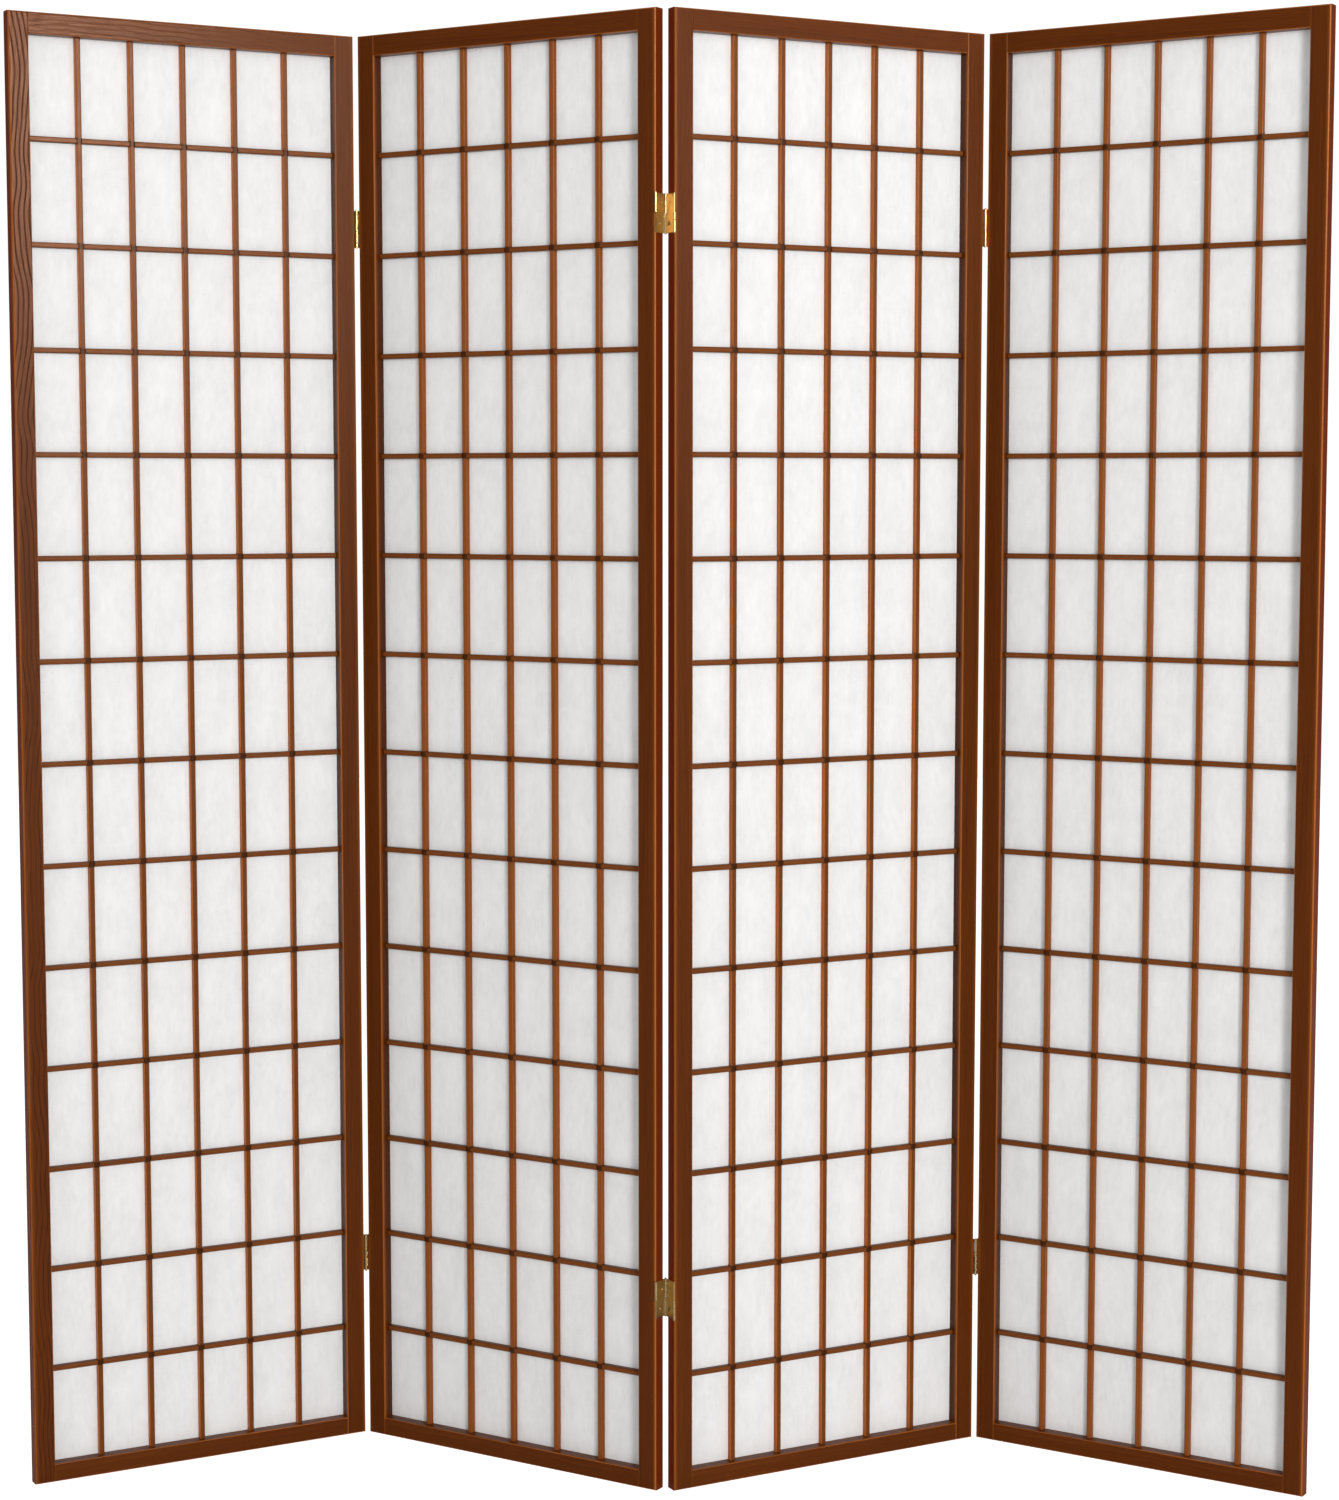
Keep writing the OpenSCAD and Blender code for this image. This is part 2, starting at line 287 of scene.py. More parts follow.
class Wood(Finish):
    """Stained and lacquered wood. Its grain runs along the panel if it is level, and up it if not"""

    # Shares of the broad figure, the streaks and the fibres in the tone of the wood
    FIGURE_SHARE = 0.42
    STREAK_SHARE = 0.40
    FIBRE_SHARE = 0.18
    # How far lines of grain drift sideways, in widths of a streak
    DRIFT_WIDTHS = 9.0
    # The range over which a streak goes from weak to strong
    STREAK_RANGE = (0.30, 0.65)
    # The range of a normal's part along an axis over which a face counts as square to it
    SQUARE_TO = (0.80, 0.97)
    # The same for a side, which takes in half of its arrises
    SIDE_OF = (0.3, 0.7)
    # How far the rings lean as they go through the piece
    RING_LEAN = 0.6

    def __init__(self, name, place, level, settings, stain, light):
        super().__init__(name)
        self.place = place
        self.level = level
        self.settings = settings
        self.stain = stain
        self.point, normal = self.from_panel(place)
        self.here = self.split(self.point)
        self.facing = self.split(normal)
        self.rings = 0.0
        self.lay_grain(light)

    def grain(self, point, along, across, *detail):
        """A pattern with so many ripples to the metre along the grain and across it"""
        ripples = (along, across, across) if self.level else (across, across, along)
        return self.pattern(point, ripples, *detail)

    def paint(self, share, colour):
        self.colour = self.mix(share, self.colour, colour)

    def darken(self, share, level):
        """Takes a share of the surface towards a dark shade of its own stain"""
        self.paint(share, tinted(self.stain, level))

    def lay_grain(self, light):
        """Broad figure, streaks, fibres and pores, along lines that drift from side to side"""
        width = self.settings.grain_width
        along = 1 / self.settings.grain_length
        across = 1 / width
        drift = self.grain(self.point, along * 0.4, across * 0.08, 2.0, 0.5)
        drift = self.times(drift, width * self.DRIFT_WIDTHS)
        drift = self.join(0.0, 0.0, drift) if self.level else self.join(drift, 0.0, 0.0)
        bent = self.add(
            "ShaderNodeVectorMath",
            {"operation": "ADD"},
            {0: self.point, 1: drift},
        ).outputs[0]

        figure = self.grain(bent, along, across * 0.3, 3.0, 0.5, 0.3)
        self.streaks = self.grain(bent, along, across, 4.0, 0.6)
        self.fibres = self.grain(bent, along * 7.0, across * 6.0, 3.0, 0.6)
        pores = self.grain(bent, along * 16.0, across * 9.0, 1.0, 0.4)
        self.pores = self.fade(pores, 0.60, 0.74)

        tone = self.blend(figure, self.FIGURE_SHARE, self.times(self.streaks, self.STREAK_SHARE))
        tone = self.blend(self.fibres, self.FIBRE_SHARE, tone)
        self.colour = self.ramp(tone, [
            (0.32, tinted(self.stain, 0.62)),
            (0.46, tinted(self.stain, 0.92)),
            (0.56, self.stain),
            (0.72, light),
        ])
        self.darken(self.times(self.pores, 0.35), 0.35)

    def show_rings(self, strength):
        """Growth rings that wander sideways along the piece and fade where the streaks are dark"""
        settings = self.settings
        wander = self.grain(self.point, 1 / settings.ring_run, 3.0, 2.0, 0.5)
        cut = self.blend(self.here[1], self.RING_LEAN, self.here[2] if self.level else self.here[0])
        cut = self.blend(wander, settings.ring_wander, cut)
        from_ring = self.math("PINGPONG", self.math("DIVIDE", cut, settings.ring_width), 0.5)
        ring = self.fade(from_ring, 0.02, 0.25, 1.0, 0.0)
        shown = self.spread(self.streaks, 0.30, 0.62, 0.25 * strength, strength)
        self.rings = self.times(ring, shown)
        self.darken(self.times(self.rings, 0.85), 0.22)

    def colour_sides(self):
        """A frame's redder outer edges, a painted highlight at the front of its inner sides and painted
        shade on them by the paper, and a lighter band along its outer arrises
        """
        settings = self.settings
        edge = self.place.edge
        front = self.place.front
        to_edge = self.size(self.here[0])
        outer = self.fade(to_edge, edge - 2 * MM, edge - 1 * MM)
        sideways = self.fade(self.size(self.facing[0]), *self.SQUARE_TO)
        self.paint(self.times(self.times(sideways, outer), settings.edge_share), settings.edge_colour)

        # Painted highlight at the front of a stile's inner side, and painted shade where it meets the
        # paper
        inner_side = self.times(sideways, self.minus(1.0, outer))
        lit_at_front = self.fade(self.here[1], front, front + 5.0 * MM, settings.inner_highlight, 0.0)
        self.paint(self.times(inner_side, lit_at_front), settings.arris_and_highlight_colour)
        shaded_by_paper = self.fade(self.here[1], front + 4.0 * MM, front + 9.0 * MM, 0.0, settings.inner_shade)
        self.darken(self.times(inner_side, shaded_by_paper), 0.3)

        # A lighter band along the outer arrises, on the front and the back
        edge_band = self.fade(to_edge, edge - settings.edge_band_width, edge, 0.0, settings.edge_band_share)
        flat = self.fade(self.size(self.facing[1]), *self.SQUARE_TO)
        self.paint(self.times(edge_band, flat), settings.arris_and_highlight_colour)

    def wear_and_light_arrises(self):
        """Thins the stain along every arris, in streaks, and paints a highlight there, weaker towards the
        panel's left as if the light came from its right
        """
        x, y, z = self.facing
        corner = self.math("MAXIMUM", self.size(self.times(x, y)), self.size(self.times(y, z)))
        corner = self.math("MAXIMUM", corner, self.size(self.times(x, z)))
        wear_and_highlight = self.fade(corner, 0.10, 0.48, 0.0, self.settings.arris_wear_and_highlight)
        wear_and_highlight = self.times(wear_and_highlight, self.spread(self.streaks, *self.STREAK_RANGE, 0.7, 1.1))
        # Painted highlight: weaker towards the panel's left, where less light falls
        edge = self.place.edge
        wear_and_highlight = self.times(wear_and_highlight, self.spread(self.here[0], -edge, edge, 0.62, 1.0))
        self.paint(wear_and_highlight, self.settings.arris_and_highlight_colour)

    def paint_bar_light_and_shade(self, half, lit_side_to, front_shade, lit_side_shade):
        """Paints light and shade on a bar: painted shade towards its sides and on its front, a lit side
        that is left bright, and darker where bars cross.

        half is half a bar's width. The side argument is 1 if the bar's right side can be seen from in
        front of the screen, and -1 if its left side can; that side is painted as the lit side. The two
        shade arguments say how much painted shade darkens its front and that lit side.
        """
        from_upright, from_crossbar = self.from_bars(self.here, self.place)
        along, across = (from_upright, from_crossbar) if self.level else (from_crossbar, from_upright)
        # Painted light: one side is left bright, while painted shade darkens the rest of the bar towards
        # its sides and on its front
        painted_lit_side = self.fade(self.times(self.facing[0], lit_side_to), *self.SIDE_OF)
        away_from_lit_side = self.minus(1.0, painted_lit_side)
        side_shading = self.fade(across, half * 0.45, half * 0.95, 0.0, self.settings.side_shade)
        self.darken(self.times(side_shading, away_from_lit_side), 0.30)
        self.darken(self.times(away_from_lit_side, front_shade), 0.25)
        self.darken(self.times(painted_lit_side, lit_side_shade), 0.25)
        # Darker where two bars cross
        at_crossing = self.fade(along, half * 0.85, half * 1.45, self.settings.lap_shade, 0.0)
        self.darken(at_crossing, 0.10)

    def mark_joint(self, joint_at):
        """A fine dark seam where a rail meets its stiles, with a painted highlight on each side of it"""
        from_joint = self.size(self.minus(self.size(self.here[0]), joint_at))
        lit_flank = self.fade(from_joint, 0.4 * MM, 1.0 * MM, self.settings.seam_highlight, 0.0)
        self.paint(lit_flank, self.settings.arris_and_highlight_colour)
        self.darken(self.fade(from_joint, 0.10 * MM, 0.30 * MM, 0.8, 0.0), 0.25)

    def lacquer(self):
        """Closes the finish. The lacquer is duller over growth rings and sinks into the pores"""
        smoothest = self.settings.roughness - 0.05
        roughest = self.settings.roughness + 0.07
        lacquered = self.spread(self.fibres, *MIDDLE_RANGE, smoothest, roughest)
        height = self.minus(self.blend(self.streaks, 0.5, self.fibres), self.pores)
        return self.close(
            colour=self.colour,
            roughness=self.blend(self.rings, 0.5, lacquered),
            normal=self.bump(height, GRAIN_RELIEF, 0.5),
            specular=self.settings.gloss,
        )


def frame_wood(name, place, level, settings, rings, joint_at=None):
    wood = Wood(name, place, level, settings, settings.stain_colour, settings.light_colour)
    wood.show_rings(rings)
    wood.colour_sides()
    wood.wear_and_light_arrises()
    if joint_at:
        wood.mark_joint(joint_at)
    return wood.lacquer()


# A bar's wood, with painted light and shade on its sides and front
def bar_wood(name, place, level, settings, colours, half, lit_side_to=-1.0, front_shade=0.0, lit_side_shade=0.0):
    wood = Wood(name, place, level, settings, *colours)
    wood.wear_and_light_arrises()
    wood.paint_bar_light_and_shade(half, lit_side_to, front_shade, lit_side_shade)
    return wood.lacquer()


# ---- Paper, brass and floor ----

# Ripples to the metre along each axis
PAPER_CLOUDS = (34.0, 34.0, 16.0)
PAPER_MOTTLE = (170.0, 170.0, 60.0)
PAPER_FELT = (900.0, 900.0, 700.0)
UPRIGHT_STRANDS = (120.0, 120.0, 26.0)
LEVEL_STRANDS = (40.0, 40.0, 95.0)
BARK_FLECKS = (260.0, 260.0, 320.0)
BRASS_PATCHES = (140.0, 140.0, 90.0)
FLOOR_CLOUDS = (1.1, 1.1, 1.1)

LEVEL_STRAND_SHARE = 0.7
PAPER_ROUGHNESS = (0.82, 0.95)
PAPER_RELIEF = 0.05 * MM
PAPER_GLOSS = 0.12

# How many times longer than wide a brushed line is, and how much rougher a dull patch
BRUSH_LENGTH = 30
DULL_ROUGHNESS = 0.25
BRUSH_RELIEF = 0.006 * MM
# How much smoother than the plates the pins and the screws are
PIN_POLISH = 0.06
SCREW_POLISH = 0.04

FLOOR_ROUGHNESS = 0.9
FLOOR_GLOSS = 0.1


def strand_lines(work, pattern, level, half_width):
    """Thin lines along one level of a pattern"""
    return work.fade(work.size(work.minus(pattern, level)), 0.0, half_width, 1.0, 0.0)


def paper_finish(name, place, settings):
    """Washi: cloudy, with long fibres, and with a painted shadow of the bars behind it at its back"""
    work = Finish(name)
    point, normal = work.from_panel(place)

    clouds = work.pattern(point, PAPER_CLOUDS, 4.0, 0.6)
    mottle = work.pattern(point, PAPER_MOTTLE, 3.0, 0.55, 0.4)
    felt = work.pattern(point, PAPER_FELT, 2.0, 0.5)
    upright = strand_lines(work, work.pattern(point, UPRIGHT_STRANDS, 2.0, 0.5, 1.6), 0.5, 0.022)
    level = strand_lines(work, work.pattern(point, LEVEL_STRANDS, 2.0, 0.5, 1.8), 0.47, 0.014)
    fibre = work.math("MAXIMUM", upright, work.times(level, LEVEL_STRAND_SHARE))

    tone = work.blend(clouds, 0.6, work.times(mottle, 0.4))
    colour = work.ramp(tone, [
        (0.36, settings.shade_colour),
        (0.50, settings.paper_colour),
        (0.64, settings.light_colour),
    ])
    colour = work.mix(work.times(fibre, settings.fibre_share), colour, settings.fibre_colour)
    fleck = work.fade(work.pattern(point, BARK_FLECKS, 1.0, 0.4), 0.76, 0.82, 0.0, 0.5)
    colour = work.mix(fleck, colour, settings.fleck_colour)

    # Painted shadow of the bars on the paper's back face, as if light from the front came through
    half = bpy.context.scene.shoji_lattice.bar_width / 2
    at_bars = [
        work.fade(away, half * 0.75, half * 1.35, 1.0, 0.0)
        for away in work.from_bars(work.split(point), place)
    ]
    at_back = work.fade(work.split(normal)[1], 0.2, 0.6)
    through = work.times(work.math("MAXIMUM", *at_bars), at_back)
    colour = work.mix(work.times(through, settings.bar_shadow_share), colour, settings.bar_shadow_colour)

    height = work.math("ADD", work.blend(felt, 0.4, mottle), work.times(fibre, 0.6))
    return work.close(
        colour=colour,
        roughness=work.spread(felt, *MIDDLE_RANGE, *PAPER_ROUGHNESS),
        normal=work.bump(height, PAPER_RELIEF, 0.35),
        specular=PAPER_GLOSS,
    )


def brass_finish(name, settings, brushed_along, roughness):
    """Lacquered brass, brushed one way, a little dull in patches"""
    work = Finish(name)
    source = work.add("ShaderNodeTexCoord").outputs["Object"]
    across = 1 / settings.brush_width
    along = across / BRUSH_LENGTH
    brushing = (across, across, along) if brushed_along == "Z" else (along, along, across)
    lines = work.pattern(source, brushing, 3.0, 0.6)
    patches = work.pattern(source, BRASS_PATCHES, 4.0, 0.6)
    dull = work.fade(patches, 0.45, 0.72, 0.0, settings.tarnish)
    colour = work.ramp(lines, [
        (0.30, tinted(settings.brass_colour, 0.86)),
        (0.70, settings.brass_colour),
    ])
    brushed = work.spread(lines, *MIDDLE_RANGE, roughness - 0.05, roughness + 0.06)
    return work.close(
        colour=work.mix(dull, colour, settings.tarnish_colour),
        metal=1.0,
        roughness=work.blend(dull, DULL_ROUGHNESS, brushed),
        normal=work.bump(lines, BRUSH_RELIEF, 0.3),
    )


def floor_finish(name, settings):
    """A plain pale floor that looks a little brighter than its own light makes it"""
    work = Finish(name)
    source = work.add("ShaderNodeTexCoord").outputs["Object"]
    clouds = work.pattern(source, FLOOR_CLOUDS, 3.0, 0.5)
    colour = work.ramp(clouds, [
        (0.3, tinted(settings.floor_colour, 0.985)),
        (0.7, settings.floor_colour),
    ])
    looked_at = work.add("ShaderNodeLightPath").outputs["Is Camera Ray"]
    shader = work.add(
        "ShaderNodeBsdfPrincipled",
        None,
        {
            "Base Color": colour,
            "Roughness": FLOOR_ROUGHNESS,
            "Specular IOR Level": FLOOR_GLOSS,
            "Emission Color": WHITE,
            "Emission Strength": work.times(looked_at, settings.floor_glow),
        },
    )
    work.tree.links.new(shader.outputs[0], work.output.inputs[0])
    return work.material


# ---- Pieces ----

def pane_lines(outer, opening, bar_starts, bar_width, steps):
    """Places of the lines across a sheet: its two ends, and several in each pane between bars"""
    ends = [-opening / 2]
    for start in bar_starts:
        ends += [start, start + bar_width]
    ends.append(opening / 2)
    lines = [(-outer / 2, 0.0)]
    for near, far in zip(ends[::2], ends[1::2]):
        for step in range(steps + 1):
            share = step / steps
            lines.append((near + (far - near) * share, 4 * share * (1 - share)))
    lines.append((outer / 2, 0.0))
    return lines


def paper_sheet(place, paper, lattice):
    """A sheet glued to the bars, which sinks back a little in the middle of each pane"""
    half_bar = lattice.bar_width / 2
    across = pane_lines(
        place.paper_width, place.opening_width,
        [(index + 1) * place.upright_pitch - place.opening_width / 2 - lattice.bar_width
         for index in range(lattice.upright_count)],
        lattice.bar_width, paper.pane_steps)
    upward = pane_lines(
        place.paper_height, place.paper_height - 2 * lattice.paper_edge,
        [place.crossbar_start + index * place.crossbar_pitch - half_bar
         for index in range(lattice.crossbar_count)],
        lattice.bar_width, paper.pane_steps * 2)
    columns = len(across) - 1
    rows = len(upward) - 1
    shape = bmesh.new()
    bmesh.ops.create_grid(shape, x_segments=columns, y_segments=rows, size=0.5)
    for vert in shape.verts:
        x, x_sink = across[round((vert.co.x + 0.5) * columns)]
        z, z_sink = upward[round((vert.co.y + 0.5) * rows)]
        # The paper is not equally slack in every pane
        uneven = noise.noise(Vector((x * 14, z * 9, place.number)))
        sink = paper.slack * x_sink * z_sink * (0.75 + 0.5 * uneven)
        vert.co = (x, sink - paper.thickness / 2, z)
    front = shape.faces[:]
    bmesh.ops.recalc_face_normals(shape, faces=front)
    bmesh.ops.solidify(shape, geom=front, thickness=paper.thickness)
    return shape


RECESS_TAPER = 0.55
SCREW_SEGMENTS = 40
SCREW_TIP = 0.15


def cross_recess(shape, brass):
    """Sinks a cross into a flat disc that lies at z = 0"""
    arm = brass.recess_width / 2
    reach = brass.screw_head * brass.recess_share / 2
    for direction in (Vector((1, 0, 0)), Vector((0, 1, 0))):
        for offset in (-reach, -arm, arm, reach):
            everything = shape.verts[:] + shape.edges[:] + shape.faces[:]
            bmesh.ops.bisect_plane(
                shape, geom=everything, dist=0.0001 * MM, plane_co=direction * offset, plane_no=direction)
    cross = []
    for face in shape.faces:
        middle = face.calc_center_median()
        near, far = sorted((abs(middle.x), abs(middle.y)))
        if near < arm and far < reach:
            cross.append(face)
    sunk = bmesh.ops.extrude_face_region(shape, geom=cross)["geom"]
    bmesh.ops.delete(shape, geom=cross, context="FACES")
    floor = [part for part in sunk if isinstance(part, bmesh.types.BMVert)]
    bmesh.ops.translate(shape, verts=floor, vec=(0, 0, -brass.recess_depth))
    bmesh.ops.scale(shape, verts=floor, vec=(RECESS_TAPER, RECESS_TAPER, 1.0))


def brass_screw(brass):
    """A countersunk wood screw with a cross recess, its face at z = 0 and its point below"""
    head = brass.screw_head / 2
    shank = brass.screw_shank / 2
    chamfer = brass.screw_chamfer
    shape = bmesh.new()
    profile = (
        (head, -chamfer),
        (shank, -brass.plate),
        (shank, 3 * shank - brass.screw_length),
        (SCREW_TIP * shank, -brass.screw_length),
    )
    bmesh.ops.create_circle(shape, cap_ends=True, segments=SCREW_SEGMENTS, radius=head - chamfer)
    cross_recess(shape, brass)
    rim = [edge for edge in shape.edges if edge.is_boundary]
    before = head - chamfer
    for radius, level in profile:
        grown = bmesh.ops.extrude_edge_only(shape, edges=rim)["geom"]
        ring = [part for part in grown if isinstance(part, bmesh.types.BMVert)]
        rim = [part for part in grown if isinstance(part, bmesh.types.BMEdge)]
        bmesh.ops.scale(shape, verts=ring, vec=(radius / before, radius / before, 1.0))
        bmesh.ops.translate(shape, verts=ring, vec=(0, 0, level - ring[0].co.z))
        before = radius
    bmesh.ops.holes_fill(shape, edges=rim, sides=0)
    bmesh.ops.recalc_face_normals(shape, faces=shape.faces)
    return shape


def screw_places(number, place, brass):
    """Where the screws of a panel's leaves go: the z of each points out of the panel's edge"""
    low, high = place.box(f"panel_{number}_hinge_screws")
    face = max(high.x, -low.x)
    depth = (low.y + high.y) / 2
    places = []
    for fold, hand, side in ((number - 1, "right", -1), (number, "left", 1)):
        if fold not in FOLDS:
            continue
        top = middle_of(f"fold_{fold}_upper_hinge_{hand}_leaf").z - place.middle.z
        rise = high.z - brass.screw_head / 2 - top
        for level in LEVELS:
            middle = middle_of(f"fold_{fold}_{level}_hinge_{hand}_leaf").z - place.middle.z
            for end in (-1, 1):
                # Each screw stops at a turn of its own
                turned = math.radians(37 * number + 61 * side + 113 * end + 47 * len(places))
                places.append(
                    Matrix.Translation((side * face, depth, middle + end * rise))
                    @ Matrix.Rotation(math.radians(90 * side), 4, "Y")
                    @ Matrix.Rotation(turned, 4, "Z"))
    return places


def finished_piece(name, shape, material, body, stands_for):
    """Makes an object of a shape that is already in its place, and puts it on its body"""
    mesh = bpy.data.meshes.new(name)
    shape.to_mesh(mesh)
    shape.free()
    piece = bpy.data.objects.new(name, mesh)
    bpy.context.scene.collection.objects.link(piece)
    mesh.materials.append(material)
    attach(piece, body)
    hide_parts(stands_for)
    return piece


def dress(node, material):
    """Gives a carried-over node its finish"""
    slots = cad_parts[node].data.materials
    slots.clear()
    slots.append(material)


# ---- Settings ----

def colour_setting(name, description, default):
    return bpy.props.FloatVectorProperty(
        name=name, description=description, default=default,
        subtype="COLOR", size=3, min=0.0, max=1.0)


def length_setting(name, description, default):
    return bpy.props.FloatProperty(
        name=name, description=description, default=default,
        subtype="DISTANCE", unit="LENGTH", min=0.0, precision=4)


def share_setting(name, description, default, most=1.0):
    return bpy.props.FloatProperty(
        name=name, description=description, default=default,
        subtype="FACTOR", min=0.0, max=most)


def power_setting(name, description, default):
    return bpy.props.FloatProperty(
        name=name, description=description, default=default, min=0.0, unit="POWER")


class WoodSettings(bpy.types.PropertyGroup):
    stain_colour: colour_setting("Stain", "Colour of the stained wood", (0.122, 0.0265, 0.0018))
    light_colour: colour_setting("Light grain", "Colour of the lighter streaks", (0.175, 0.044, 0.004))
    # Colour of the thin stain and painted highlight along the arrises, also used for the painted
    # highlights on inner sides and beside joints and for the band along the outer arrises
    arris_and_highlight_colour: colour_setting(
        "Arrises", "Colour where the stain is thin along an arris", (0.52, 0.15, 0.022))
    # How much lighter the arrises are, from thin stain and painted highlight
    arris_wear_and_highlight: share_setting("Arris wear", "How much lighter the arrises are", 0.78)
    # Painted shade towards a bar's sides; the setting after it darkens the bars where they cross
    side_shade: share_setting("Side shade", "How much darker a bar is towards its sides", 0.84)
    lap_shade: share_setting("Lap shade", "How dark the stain gathers where two bars cross", 0.95)
    edge_colour: colour_setting("Edges", "Colour of the panels' outer edges", (0.19, 0.022, 0.0006))
    edge_share: share_setting("Edge share", "How far the edges take that colour", 0.75)
    # Painted highlight and painted shade on a stile's inner side
    inner_highlight: share_setting(
        "Inner light", "How much lighter a stile's inner side is at its front", 0.55)
    inner_shade: share_setting(
        "Inner dark", "How much darker a stile's inner side is by the paper", 0.60)
    # A lighter band along the outer arrises
    edge_band_width: length_setting(
        "Handled width", "Width of the lighter band along an outer arris", 6.0 * MM)
    edge_band_share: share_setting("Handled share", "How much lighter that band is", 0.24)
    # Painted highlight beside a joint
    seam_highlight: share_setting("Seam", "How much lighter the wood is beside a joint", 0.22)
    ring_width: length_setting("Ring width", "Distance between two growth rings", 6.0 * MM)
    ring_run: length_setting("Ring run", "Length over which the rings wander", 0.20)
    ring_wander: length_setting("Ring wander", "How far the rings wander sideways", 0.060)
    ring_share: share_setting("Rings", "How plainly the growth rings show on a stile", 0.30)
    rail_ring_share: share_setting("Rail rings", "How plainly they show on a rail", 0.25)
    figured_ring_share: share_setting("Figured rings", "How plainly they show on the first stile", 0.95)
    grain_width: length_setting("Grain width", "Width of a streak of grain", 2.6 * MM)
    grain_length: length_setting("Grain length", "Length of a streak of grain", 0.28)
    roughness: share_setting("Roughness", "Roughness of the lacquer", 0.28)
    gloss: share_setting("Gloss", "Strength of the lacquer's reflections", 0.09)


class LatticeSettings(bpy.types.PropertyGroup):
    bar_width: length_setting("Bar width", "Face width of a lattice bar", 6.5 * MM)
    paper_edge: length_setting("Paper edge", "Width of paper glued in the frame's rebate", 4.0 * MM)
    upright_count: bpy.props.IntProperty(
        name="Uprights", description="Upright bars in a panel", default=5, min=1)
    crossbar_count: bpy.props.IntProperty(
        name="Crossbars", description="Crossbars in a panel", default=13, min=2)
    upright_stain: colour_setting("Upright stain", "Colour of the upright bars", (0.46, 0.125, 0.022))
    upright_light: colour_setting(
        "Upright light grain", "Colour of their lighter streaks", (0.55, 0.165, 0.034))
    # Painted shade on the uprights' fronts, and on their lit sides in the panels that turn left
    front_shade: share_setting(
        "Dull fronts", "How much darker the uprights' fronts are in the panels that turn right", 0.82)
    left_turned_front_shade: share_setting(
        "Left-turned fronts", "How much darker those fronts are in the panels that turn left", 0.48)
    left_turned_side_shade: share_setting(
        "Left-turned sides", "How much darker the uprights' right sides are in those panels", 0.55)
    crossbar_stain: colour_setting("Crossbar stain", "Colour of the crossbars", (0.20, 0.056, 0.011))
    crossbar_light: colour_setting(
        "Crossbar light grain", "Colour of their lighter streaks", (0.27, 0.08, 0.02))


class PaperSettings(bpy.types.PropertyGroup):
    paper_colour: colour_setting("Paper", "Colour of the paper", (0.88, 0.88, 0.875))
    light_colour: colour_setting("Thin places", "Colour where the pulp is even", (0.925, 0.925, 0.92))
    shade_colour: colour_setting("Thick places", "Colour where the pulp is thick", (0.83, 0.83, 0.825))
    fibre_colour: colour_setting("Fibres", "Colour of the long fibres", (0.97, 0.97, 0.96))
    fleck_colour: colour_setting("Flecks", "Colour of the flecks of bark", (0.55, 0.53, 0.50))
    # Painted shadow of the bars on the paper's back
    bar_shadow_colour: colour_setting(
        "Bars behind", "Colour of the bars seen through the back", (0.52, 0.44, 0.38))
    fibre_share: share_setting("Fibre strength", "How plainly the fibres show", 0.35)
    bar_shadow_share: share_setting("Show-through", "How plainly the bars show at the back", 0.45)
    thickness: length_setting("Thickness", "Thickness of the paper", 0.3 * MM)
    slack: length_setting("Slack", "How far the paper sinks back in the middle of a pane", 0.45 * MM)
    pane_steps: bpy.props.IntProperty(
        name="Pane steps", description="Faces across a pane of paper", default=6, min=2)


class BrassSettings(bpy.types.PropertyGroup):
    brass_colour: colour_setting("Brass", "Colour of the brass", (0.58, 0.46, 0.225))
    tarnish_colour: colour_setting("Tarnish", "Colour of the dull patches", (0.43, 0.33, 0.145))
    tarnish: share_setting("Tarnish strength", "How dull the patches are", 0.35)
    brush_width: length_setting("Brush width", "Width of a brushed line", 0.22 * MM)
    roughness: share_setting("Roughness", "Roughness of the brass", 0.34)
    screw_head: length_setting("Screw head", "Diameter of a screw's head", 5.0 * MM)
    screw_shank: length_setting("Screw shank", "Diameter of a screw's shank", 2.4 * MM)
    screw_length: length_setting("Screw length", "Length of a screw", 15.0 * MM)
    screw_chamfer: length_setting("Head chamfer", "Broken edge round a screw's head", 0.12 * MM)
    plate: length_setting("Plate", "Thickness of a hinge leaf", 1.0 * MM)
    recess_width: length_setting("Recess width", "Width of a slot of the cross recess", 0.75 * MM)
    recess_depth: length_setting("Recess depth", "Depth of the cross recess", 0.9 * MM)
    recess_share: share_setting("Recess length", "Length of the cross as a share of the head", 0.6)


class StageSettings(bpy.types.PropertyGroup):
    floor_colour: colour_setting("Floor", "Colour of the floor", (0.86, 0.86, 0.86))
    floor_glow: share_setting("Floor glow", "How much brighter the floor looks than its own light", 0.8)
    floor_radius: length_setting("Floor radius", "Radius of the round floor", 9.0)
    surround: share_setting("Surround", "Strength of the light from the walls", 0.92, 2.0)
    overhead: share_setting("Overhead", "Strength of the light from above", 0.34, 2.0)
    gleam: share_setting("Gleam", "How bright the room is in reflections", 0.13, 2.0)
    key_power: power_setting("Key light", "Power of the large soft light", 215.0)
    side_power: power_setting("Side light", "Power of the side light", 228.0)


# ---- Operators ----

